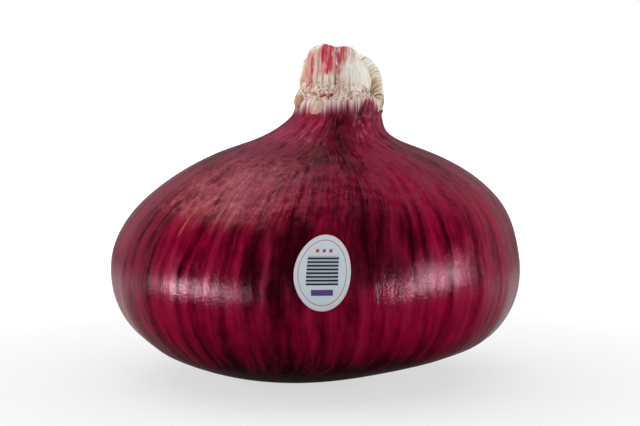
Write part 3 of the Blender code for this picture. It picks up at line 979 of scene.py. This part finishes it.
def make_neck_wall(finish):
    """The thick outer leaf base, torn off on a slope: outside, rim with fanned pleats, inside and floor.

    Each ring is at one share of the way up the outside, across the rim or down the inside; the pleats are a
    cosine of the angle, strongest at the middle of the rim.
    """
    steps = 720
    angle = ring_angles(steps, -math.pi)
    share = angle / TURN
    outer_rim = rim_line(angle, 1) + 0.0002 * ripple(share, 90, 51)
    drop = rim_line(angle, 2)
    up = ladder(50)
    outside_height = NECK_BOTTOM + up * (outer_rim - NECK_BOTTOM)
    open_side = hump(angle, DIP_ANGLE, DIP_REACH[1])
    bare = ease(outside_height, 0.0745 - 0.0035 * open_side, 0.0765 - 0.0030 * open_side)
    bare = bare * (1 - 0.5 * hump(angle, -118, 110))
    fibre = 0.5 * np.cos(PLEATS * angle + 1.7 * np.sin(2 * angle)) + 0.5 * ripple(share, 150, 52)
    rough = 0.00010 * fibre + 0.0003 * patches(share, up, 13, 5, 53)
    outside_radius = WALL_OUTSIDE - 0.0014 * (1 - bare) + rough * bare
    outside_radius = outside_radius - 0.0003 * ease(up, 0.93, 1.0) + 0.8 * right_swell(angle, outside_height)
    across = ladder(30)[1:]
    pleat_turn = PLEATS * angle + 2.4 * np.sin(3 * angle) + 1.2 * patches(share, across, 31, 2, 55)
    pleat = np.cos(pleat_turn) * arch(0.08 + 0.9 * across) ** 0.5
    rim_radius = outside_radius[-1:] + (WALL_INSIDE - outside_radius[-1:]) * across
    swell = 0.0005 * arch(across) + 0.0003 * patches(share, across, 17, 2, 56)
    rim_top = outer_rim - drop * across + swell + 0.00020 * pleat
    down = ladder(16)[1:]
    inside_height = rim_top[-1:] + down * (WALL_FLOOR - rim_top[-1:])
    inside_radius = WALL_INSIDE + 0.0002 * patches(share, down, 19, 4, 54)
    ring = np.ones((1, steps))
    inside_radius = inside_radius * np.ones_like(inside_height)
    radius = np.concatenate([0.005 * ring, outside_radius, rim_radius, inside_radius, 0.004 * ring])
    outer_height = np.concatenate([NECK_BOTTOM * ring, outside_height])
    height = np.concatenate([outer_height, rim_top, inside_height, WALL_FLOOR * ring])
    browned = ease(rim_top, 0.0765, 0.0800) * (1 - ease(rim_top, 0.0820, 0.0872))
    # Painted shade: the rim browns towards its inner edge and in the troughs of its pleats; the inside of the
    # wall and its floor are browner and darker.
    rim_tan_and_shade = 0.08 + 0.34 * browned * (0.6 + 0.4 * ease(across, 0.1, 0.7)) + 0.20 * ease(-pleat, -0.2, 0.9)
    outer_tan = 0.10 + 0.34 * open_side * (1 - ease(outer_height, 0.0770, 0.0800))
    within = np.ones((len(down) + 1, steps))
    tan = np.concatenate([outer_tan, rim_tan_and_shade, 0.6 * within])
    # Painted shade: darker in the pleat troughs and inside the wall.
    crease = np.concatenate([0 * outer_tan, 0.25 * ease(-pleat, 0.55, 1.0), 0.45 * within])
    values = leaf_values(angle, height, tan=tan, crease=crease)
    up_share = np.linspace(0, 1, len(height))
    wall = ring_piece("neck_wall", place(angle, radius, height), up_share, values, finish)
    belong(wall, "neck")


def make_neck_core(finish):
    """The pale smooth bundle inside the wall: its outline turned round, lightly fluted and folded on top."""
    angle = ring_angles(240, -math.pi)
    share = angle / TURN
    outline = smooth_curve(CORE_OUTLINE, CORE_ROWS)
    up = ladder(CORE_ROWS)
    flute = 0.00010 * np.cos(19 * angle + 2 * np.sin(angle)) + 0.00022 * patches(share, up, 9, 4, 62)
    fold = 0.0004 * np.cos(up * 34 + 2.2 * np.sin(angle)) * ease(up, 0.72, 0.85)
    radius = outline[:, :1] + flute * outline[:, :1] / CORE_OUTLINE[0][0]
    height = outline[:, 1:] + fold
    # Painted shade: darker in the troughs of the folds on top.
    crease = 0.5 * ease(-fold, 0.00015, 0.0004)
    values = leaf_values(angle, height, tan=0.03 + 0.15 * ease(up, 0.7, 1.0), crease=crease)
    core = ring_piece("neck_core", place(angle, radius, height), up[:, 0], values, finish)
    belong(core, "neck")


# Stains, and creases that are grooved and darkened as painted shade: degrees round, half width in degrees,
# lowest and highest height, strength.
FRONT_CRIMSON = (
    (-113.5, 7.5, 0.0893, 0.0945, 1.0),
    (-110.5, 4.6, 0.0866, 0.0900, 1.0),
    (-121.0, 3.0, 0.0900, 0.0930, 0.5),
    (-91.5, 5.5, 0.0895, 0.0924, 0.95),
    (-96.0, 3.0, 0.0862, 0.0895, 0.50),
    (-139.5, 4.0, 0.0825, 0.0890, 0.85),
    (-152.0, 3.0, 0.0860, 0.0900, 0.35),
)
FRONT_PINK = (
    (-113.0, 14.0, 0.0864, 0.0945, 0.95),
    (-90.0, 9.0, 0.0845, 0.0935, 0.75),
    (-142.0, 11.0, 0.0800, 0.0905, 0.90),
    (-160.0, 9.0, 0.0790, 0.0920, 0.55),
)
FRONT_CREASES = (
    (-127.0, 1.5, 0.0800, 0.0925, 0.80),
    (-100.5, 1.5, 0.0800, 0.0925, 1.00),
    (-147.0, 1.0, 0.0820, 0.0900, 0.40),
    (-117.5, 0.9, 0.0800, 0.0850, 0.45),
    (-136.0, 0.9, 0.0800, 0.0870, 0.40),
)
MIDDLE_CREASES = (
    (-70.0, 1.2, 0.0770, 0.0860, 0.30),
    (-78.0, 1.0, 0.0830, 0.0900, 0.30),
    (-84.0, 1.6, 0.0800, 0.0850, 0.45),
    (-90.0, 1.4, 0.0800, 0.0835, 0.50),
    (-96.0, 1.2, 0.0790, 0.0825, 0.45),
    (-62.0, 1.2, 0.0780, 0.0815, 0.45),
)
MIDDLE_PINK = ((-92.0, 9.0, 0.0790, 0.0860, 0.25), (-76.0, 8.0, 0.0850, 0.0900, 0.14))
BACK_CRIMSON = ((112, 6, 0.0820, 0.0910, 0.8), (140, 4, 0.0800, 0.0885, 0.6))
BACK_PINK = ((112, 14, 0.0800, 0.0920, 0.8), (145, 14, 0.0790, 0.0900, 0.7))
BACK_CREASES = ((126, 1.2, 0.0790, 0.0920, 0.7), (98, 1.2, 0.0790, 0.0920, 0.6))


def sheath(name, finish, spans, edge, foot, radius, thickness, seed, curl, tan, pink, crimson=(), creases=()):
    """A leaf base that wraps part of the neck: a sheet from its foot up to a frayed top edge.

    spans has the degrees where it starts and ends at each stated height, and edge the height of its top at
    each share of the way across. It goes out by curl towards the top, with grooves at its creases; these
    grooves and the hollows among the crumbs at its foot are darkened as painted shade.
    """
    columns, rows = 150, 90
    across = np.linspace(0, 1, columns)[None, :]
    up = ladder(rows)
    levels, starts, ends = np.array(spans).T
    level = foot + up * (max(h for _, h in edge) - foot)
    start = np.interp(level, levels, starts) + 1.2 * patches(0.3, up, 5, 9, seed + 6)
    end = np.interp(level, levels, ends) + 1.2 * patches(0.6, up, 5, 9, seed + 7)
    degrees = start + (end - start) * across
    share = degrees / 360
    top = np.interp(across, *np.array([(x, h) for x, h in edge]).T)
    top = top + 0.00022 * ripple(share[-1:], 150, seed + 1)
    top = top + 0.00015 * ripple(share[-1:], 47, seed + 2)
    height = foot + up * (top - foot)
    fibre = 0.5 * ripple(share, 230, seed + 3) + 0.5 * patches(share, up, 110, 3, seed + 4)
    wobble = degrees + 1.2 * patches(0.4, up, 3, 7, seed + 8) + 0.8 * patches(share, up, 30, 14, seed + 9)
    groove = soft_box(wobble, height, creases)
    out = radius + curl * ease(up, 0.25, 1.0) ** 1.4 + 0.00007 * fibre - 0.00045 * groove
    out = out + 0.0003 * patches(share, up, 13, 3, seed + 5) - 0.0007 * ease(up, 0.90, 1.0) ** 2
    low = 1 - ease(height, foot + 0.0030, foot + 0.0072)
    crumbs = 0.5 * patches(share, up, 170, 30, seed + 10) + 0.5 * patches(share, up, 290, 55, seed + 11)
    crumbs = low * crumbs
    out = out + 0.0003 * crumbs
    angle = np.radians(degrees)
    stain = soft_box(wobble, height, crimson)
    wash = soft_box(wobble, height, pink) + 0.28 * low
    # Painted shade: the hollows among the crumbs at the foot are browned and darkened, as are the grooves at
    # the creases.
    browned = tan * (1 - low) + 0.10 * low + 0.30 * ease(-crumbs, 0.05, 0.4)
    groove = groove + 0.5 * ease(-crumbs, 0.20, 0.45)
    values = leaf_values(angle, height, crimson=0.8 * stain, pink=wash, tan=browned, crease=0.9 * groove)
    piece = sheet_piece(name, place(angle, out, height), values, thickness, finish)
    belong(piece, "neck")


def make_sheaths(finish):
    """The leaf bases outside the wall: the tallest at the front left, a white one under it, two behind."""
    sheath(
        "sheath_front", finish,
        spans=((0.0790, -176, -106), (0.0820, -176, -101), (0.0870, -175, -92), (0.0935, -172, -74)),
        edge=(
            (0.0, 0.0894), (0.10, 0.0911), (0.22, 0.0926), (0.45, 0.0933), (0.62, 0.0932), (0.70, 0.0929),
            (1.0, 0.0928),
        ),
        foot=0.0790, radius=0.01185, thickness=0.0006, seed=100, curl=-0.0013, tan=0.22,
        crimson=FRONT_CRIMSON, pink=FRONT_PINK, creases=FRONT_CREASES,
    )
    sheath(
        "sheath_middle", finish,
        spans=(
            (0.0785, -118, -44), (0.0815, -118, -56), (0.0850, -116, -71), (0.0890, -112, -73),
            (0.0925, -106, -64),
        ),
        edge=((0.0, 0.0922), (0.5, 0.0928), (0.8, 0.0922), (1.0, 0.0908)),
        foot=0.0782, radius=0.0112, thickness=0.0008, seed=200, curl=-0.0012, tan=0.0,
        pink=MIDDLE_PINK, creases=MIDDLE_CREASES,
    )
    sheath(
        "sheath_left", finish,
        spans=((0.0785, 172, 236), (0.0900, 176, 230)),
        edge=((0.0, 0.0860), (0.3, 0.0885), (0.7, 0.0897), (1.0, 0.0890)),
        foot=0.0785, radius=0.0113, thickness=0.0006, seed=300, curl=-0.0006, tan=0.2,
        pink=((-165, 30, 0.0780, 0.0890, 0.5),),
    )
    sheath(
        "sheath_back", finish,
        spans=((0.0770, 84, 172), (0.0910, 90, 166)),
        edge=((0.0, 0.0885), (0.2, 0.0905), (0.7, 0.0903), (1.0, 0.0880)),
        foot=0.0770, radius=0.0117, thickness=0.0006, seed=400, curl=-0.0004, tan=0.25,
        crimson=BACK_CRIMSON, pink=BACK_PINK, creases=BACK_CREASES,
    )


RIDGE_FOOT = 0.0784
RIDGE_TOP = 0.0820
RIDGE_RADIUS = 0.0116
RIDGE_CRACKS = (
    (-137.0, 3.0, 0.0802, 0.0804, 1.0),
    (-131.0, 3.0, 0.0798, 0.0800, 1.0),
    (-125.5, 2.5, 0.0794, 0.0796, 0.9),
    (-105.5, 3.0, 0.0789, 0.0792, 0.9),
    (-96.0, 1.6, 0.0800, 0.0812, 0.7),
    (-88.0, 2.6, 0.0806, 0.0810, 0.7),
    (-79.0, 2.2, 0.0796, 0.0802, 0.7),
    (62, 5, 0.0795, 0.0800, 0.8),
    (150, 6, 0.0790, 0.0796, 0.8),
)
RIDGE_STAINS = (
    (-106.5, 4.0, 0.0792, 0.0797, 1.0),
    (-119.5, 1.8, 0.0806, 0.0818, 0.9),
    (-111.0, 1.5, 0.0808, 0.0820, 0.8),
    (-116.0, 5.0, 0.0793, 0.0795, 0.9),
    (-128.0, 4.0, 0.0799, 0.0801, 0.8),
    (-80.0, 5.0, 0.0788, 0.0792, 0.4),
)


def make_torn_ridge(finish):
    """The torn ridge at the foot of the sheaths: a low, ragged, lumpy band, with small cracks and stains,
    and painted shadow in the hollows between its lumps.
    """
    steps = 480
    angle = (np.arange(steps + 1) / steps * TURN - math.pi)[None, :]
    share = angle / TURN
    up = ladder(30)
    ragged = 0.0008 * ripple(share, 17, 71) + 0.0008 * ripple(share, 47, 72)
    fringe = 0.0006 * ripple(share, 150, 73)
    open_side = beyond(angle, -18, 22, 36)
    top = RIDGE_FOOT + (RIDGE_TOP + ragged + fringe - RIDGE_FOOT) * (0.05 + 0.95 * open_side)
    foot = RIDGE_FOOT - 0.0012 * (1 - open_side) + 0.0004 * ripple(share, 37, 77)
    height = foot + up * (top - foot)
    lumps = 0.00055 * patches(share, up, 53, 3, 74) + 0.00042 * patches(share, up, 150, 7, 75)
    bulge = 0.00034 * arch(0.1 + up) ** 0.7 + lumps * arch(0.12 + 0.9 * up)
    wobble = np.degrees(angle) + 1.0 * patches(share, up, 60, 6, 78)
    waver = 0.0004 * patches(share, 0.5, 70, 2, 79)
    cracks = soft_box(wobble, height + waver, RIDGE_CRACKS, 0.0004)
    crimson = soft_box(wobble, height + waver, RIDGE_STAINS, 0.0005)
    over = 0.00055 * (1 - beyond(angle, -136, 28, 44))
    radius = RIDGE_RADIUS + over * ease(up, 0.05, 0.35) + bulge * open_side - 0.0003 * cracks
    radius = radius - 0.0005 * ease(up, 0.85, 1.0) - 0.0012 * (1 - open_side)
    pink = 0.25 + 0.55 * ease(patches(share, up, 40, 3, 76), 0.0, 0.8)
    # Painted shadow: the hollows between the lumps are darker and browner.
    pit_shadows = 0.7 * ease(-lumps, 0.00020, 0.00060)
    tan = 0.1 + 0.3 * ease(-lumps, 0.0, 0.0003)
    values = leaf_values(angle, height, crimson=crimson, pink=pink, tan=tan, crease=cracks + pit_shadows)
    ridge = sheet_piece("torn_ridge", place(angle, radius, height), values, 0.0004, finish)
    belong(ridge, "neck")


def make_flaps(finish):
    """Two loose scraps of skin at the foot of the neck: a folded one at the left, a curled one in front."""
    flap("folded_flap", finish, -168, 0.0782, 0.0030, 0.0026, 0.0121, 0.0010, 0.38, 0.50, 501, 0.0, 0.13)
    flap("curled_flake", finish, -121.0, 0.0763, 0.0022, 0.0020, 0.0120, 0.0004, 0.72, 0.10, 601, 0.06, 0.22)


def flap(name, finish, middle, level, half_width, half_height, radius, bulge, pink, tan, seed, crimson, dark):
    """A ragged oval scrap, darker along its upper edge. It stands out by its bulge at the middle, and less
    by the square of the distance from there."""
    x, y = oval_grid(49, 49)
    rim = np.hypot(x, y)
    ragged = 1 + 0.07 * ripple(np.arctan2(y, x) / TURN, 19, seed)
    height = level + half_height * y * ragged
    angle = math.radians(middle) + half_width * x * ragged / radius
    out = radius + bulge * (1 - rim**2) + 0.00010 * patches((x + 1) / 4, (y + 1) / 2, 60, 20, seed + 1)
    edge = ease(rim, 0.82, 0.97) * ease(y, -0.2, 0.3)
    looks = {"crimson": crimson * (1 - y), "pink": pink - 0.2 * y, "tan": tan, "crease": dark + 0.6 * edge}
    values = leaf_values(angle, height, **looks)
    piece = sheet_piece(name, place(angle, out, height), values, 0.0003, finish)
    belong(piece, "neck")


def make_neck(finish):
    """The neck: the thick torn wall, the pale core, the sheaths round them, the ridge and the scraps."""
    make_neck_wall(finish)
    make_neck_core(finish)
    make_sheaths(finish)
    make_torn_ridge(finish)
    make_flaps(finish)


# The root disc: radius, thickness and outline, from its middle out and up: radius, and height over its foot.
PLATE_RADIUS = 0.0080
PLATE_THICKNESS = 0.0011
PLATE_OUTLINE = (
    (0.0040, -0.0001),
    (0.0070, 0.0),
    (0.0078, PLATE_THICKNESS - 0.0006),
    (PLATE_RADIUS, PLATE_THICKNESS - 0.0002),
    (0.0060, PLATE_THICKNESS),
)
# The trimmed roots: how many and how many-sided, and at each share of their length their share of thickness.
ROOT_COUNT = 90
ROOT_SIDES = 6
ROOT_LEVELS = (-0.25, 0.2, 0.6, 0.97, 1.0)
ROOT_TAPER = (1.2, 1.0, 0.85, 0.75, 0.35)


def make_roots(finish):
    """The root disc, ragged round its edge, with trimmed roots in a sunflower spiral: each a short taper
    that leans outwards and to one side."""
    angle = ring_angles(96)
    top = HOLLOW_DEPTH - 0.0003
    underside = top - PLATE_THICKNESS
    outline = np.array(PLATE_OUTLINE)
    height = underside + outline[:, 1:]
    radius = outline[:, :1] + 0.00015 * ripple(angle / TURN, 23, 81)
    rings = [radius * np.cos(angle) + lean(0.0), radius * np.sin(angle), height + 0 * angle]
    disc = ring_piece("root_disc", np.stack(rings, -1), np.linspace(0, 1, len(height)), {}, finish)
    belong(disc, "root_plate")
    draw = np.random.default_rng(11)
    index = np.arange(ROOT_COUNT)[:, None, None]
    spread = np.sqrt((index + 0.5) / ROOT_COUNT)
    out = spread * (PLATE_RADIUS - 0.0010)
    bearing = index * math.pi * (3 - math.sqrt(5))

    def each(low, high):
        """A random value for each root."""
        return draw.uniform(low, high, ROOT_COUNT)[:, None, None]

    length = (underside - 0.0003) * each(0.45, 1.0)
    tilt = 0.5 * spread + each(-0.25, 0.25)
    sway = each(-0.4, 0.4)
    thick = each(0.00026, 0.00048) * np.array(ROOT_TAPER)[:, None]
    fall = length * np.array(ROOT_LEVELS)[:, None]
    side = np.arange(ROOT_SIDES) / ROOT_SIDES * TURN
    local_x = out + thick * np.cos(side) + fall * np.tan(tilt)
    local_y = thick * np.sin(side) + fall * sway
    x = local_x * np.cos(bearing) - local_y * np.sin(bearing) + lean(0.0)
    y = local_x * np.sin(bearing) + local_y * np.cos(bearing)
    rows = len(ROOT_LEVELS)
    first = index * rows * ROOT_SIDES
    step = np.arange(ROOT_SIDES)
    below = first + np.arange(rows - 1)[:, None] * ROOT_SIDES
    here, beside = below + step, below + (step + 1) % ROOT_SIDES
    walls = np.stack([here, here + ROOT_SIDES, beside + ROOT_SIDES, beside], -1).reshape(-1, 4)
    starts = first[:, 0] + step
    ends = first[:, 0] + (rows - 1) * ROOT_SIDES + step[::-1]
    faces = walls.tolist() + starts.tolist() + ends.tolist()
    corners = np.zeros((walls.size + starts.size + ends.size, 2))
    points = np.stack([x, y, underside - fall + 0 * side], -1)
    roots = add_mesh("root_stubs", points, faces, corners, {}, finish)
    belong(roots, "root_plate")


# Lights: degrees round from the camera's side, degrees up, distance, width, height, radiance, roll, and
# whether the light brings out the colours ("soft"), shines in the skin ("shine") or does both.
SOFTBOXES = {
    "left_back_softbox": (-130, 58, 1.0, 0.74, 0.44, 0.72, 0, "both"),
    "left_low_strip": (-56.5, -3.8, 0.165, 0.146, 0.014, 10.5, 0, "shine"),
    "left_glint": (-62.8, -2.6, 0.165, 0.013, 0.012, 48.0, 0, "shine"),
    "right_low_strip": (61, 2.3, 0.40, 0.31, 0.010, 66.0, 12.5, "shine"),
    "right_back_softbox": (126, 20, 1.1, 0.60, 0.95, 0.07, 0, "shine"),
    "overhead_soft": (0, 90, 1.5, 3.0, 3.0, 0.95, 0, "soft"),
    "front_soft": (0, 4, 1.3, 2.2, 0.9, 2.5, 0, "soft"),
    "left_soft": (-98, 4, 1.3, 1.4, 0.8, 5.0, 0, "soft"),
    "right_soft": (98, 4, 1.3, 1.4, 0.8, 4.2, 0, "soft"),
    "back_soft": (180, 20, 1.3, 1.4, 1.1, 1.2, 0, "soft"),
}
AIM = Vector((0.0, 0.0, 0.032))


def towards(azimuth, elevation):
    """The direction at this azimuth, from the camera's side round towards +X, and this elevation."""
    a, e = math.radians(azimuth), math.radians(elevation)
    return Vector((math.sin(a) * math.cos(e), -math.cos(a) * math.cos(e), math.sin(e)))


def make_lights():
    """Each softbox as an area light that faces the onion, unseen by the camera."""
    for name, (azimuth, elevation, distance, width, height, radiance, roll, use) in SOFTBOXES.items():
        data = bpy.data.lights.new(name, "AREA")
        data.shape = "RECTANGLE"
        data.size = width
        data.size_y = height
        data.energy = radiance * math.pi * width * height
        lamp = bpy.data.objects.new(name, data)
        out = towards(azimuth, elevation)
        lamp.location = AIM + out * distance
        lamp.rotation_mode = "QUATERNION"
        lamp.rotation_quaternion = (-out).to_track_quat("-Z", "Y") @ Quaternion((0, 0, 1), math.radians(roll))
        lamp.visible_camera = False
        lamp.visible_diffuse = use != "shine"
        lamp.visible_glossy = use != "soft"
        bpy.context.scene.collection.objects.link(lamp)


def make_world():
    """White to the camera. In the skin's shine it is dim in front and brighter behind, like a room with one
    pale wall."""
    world = bpy.data.worlds.new("studio")
    bpy.context.scene.world = world
    world.use_nodes = True
    w = Wiring(world.node_tree)
    w.tree.nodes.clear()
    _, y, z = w.parts(w.node("TexCoord", {}).outputs["Generated"])
    strength = w.times(w.step(y, 0.1, 0.95, 0.02, 0.23), w.step(z, 0.10, 0.75, 1.0, 0.40))
    white = (1.0, 1.0, 1.0, 1.0)
    room = w.node("Background", {"Color": white, "Strength": strength})
    backdrop = w.node("Background", {"Color": white})
    seen = w.node("LightPath", {}).outputs["Is Camera Ray"]
    mixed = w.node("MixShader", {0: seen, 1: room.outputs[0], 2: backdrop.outputs[0]})
    w.node("OutputWorld", {0: mixed.outputs[0]})


FLOOR_RADIUS = 6.0
FLOOR_GREY = (0.35, 0.35, 0.35)
FLOOR_DARK = (0.02, 0.02, 0.02)


def make_floor():
    """A pale floor with a faint shadow near the onion, white further off, and dark in the onion's shine."""
    bpy.ops.mesh.primitive_circle_add(vertices=96, radius=FLOOR_RADIUS, fill_type="NGON")
    floor = bpy.context.object
    floor.name = "floor"
    w = Finish("pale_floor")
    x, y, _ = w.parts(w.object_place())
    path = w.node("LightPath", {})
    mirrored = path.outputs["Is Glossy Ray"]
    w.surface(w.mix(mirrored, FLOOR_GREY, FLOOR_DARK), 0.9, 0.0)
    whitened = w.times(path.outputs["Is Camera Ray"], w.step(w.length(x, y), 0.08, 0.30, 0.62, 1.0))
    behind = w.times(w.step(y, -0.03, 0.06, 0.01, 0.50), w.step(y, 0.08, 0.40, 1.0, 0.32))
    glow = w.node("Emission", {"Strength": w.maths("ADD", whitened, w.times(mirrored, behind))})
    lit = w.node("AddShader", {0: w.shader.outputs[0], 1: glow.outputs[0]})
    w.feed(w.tree.nodes["Material Output"].inputs["Surface"], lit.outputs[0])
    floor.data.materials.append(w.material)


def make_camera():
    """The camera, at the photograph's viewing angle."""
    data = bpy.data.cameras.new("camera")
    data.lens = CAMERA_LENS
    data.sensor_width = 36.0
    data.clip_start = 0.05
    camera = bpy.data.objects.new("camera", data)
    camera.location = CAMERA_PLACE
    camera.rotation_mode = "QUATERNION"
    camera.rotation_quaternion = Vector(CAMERA_AHEAD).to_track_quat("-Z", "Y")
    bpy.context.scene.collection.objects.link(camera)
    bpy.context.scene.camera = camera


bpy.context.scene.view_settings.view_transform = "Standard"
make_camera()
make_world()
make_lights()
make_floor()
make_bulb(skin_finish())
leaf = leaf_finish()
make_neck(leaf)
make_roots(root_finish())
make_sticker(sticker_finish())
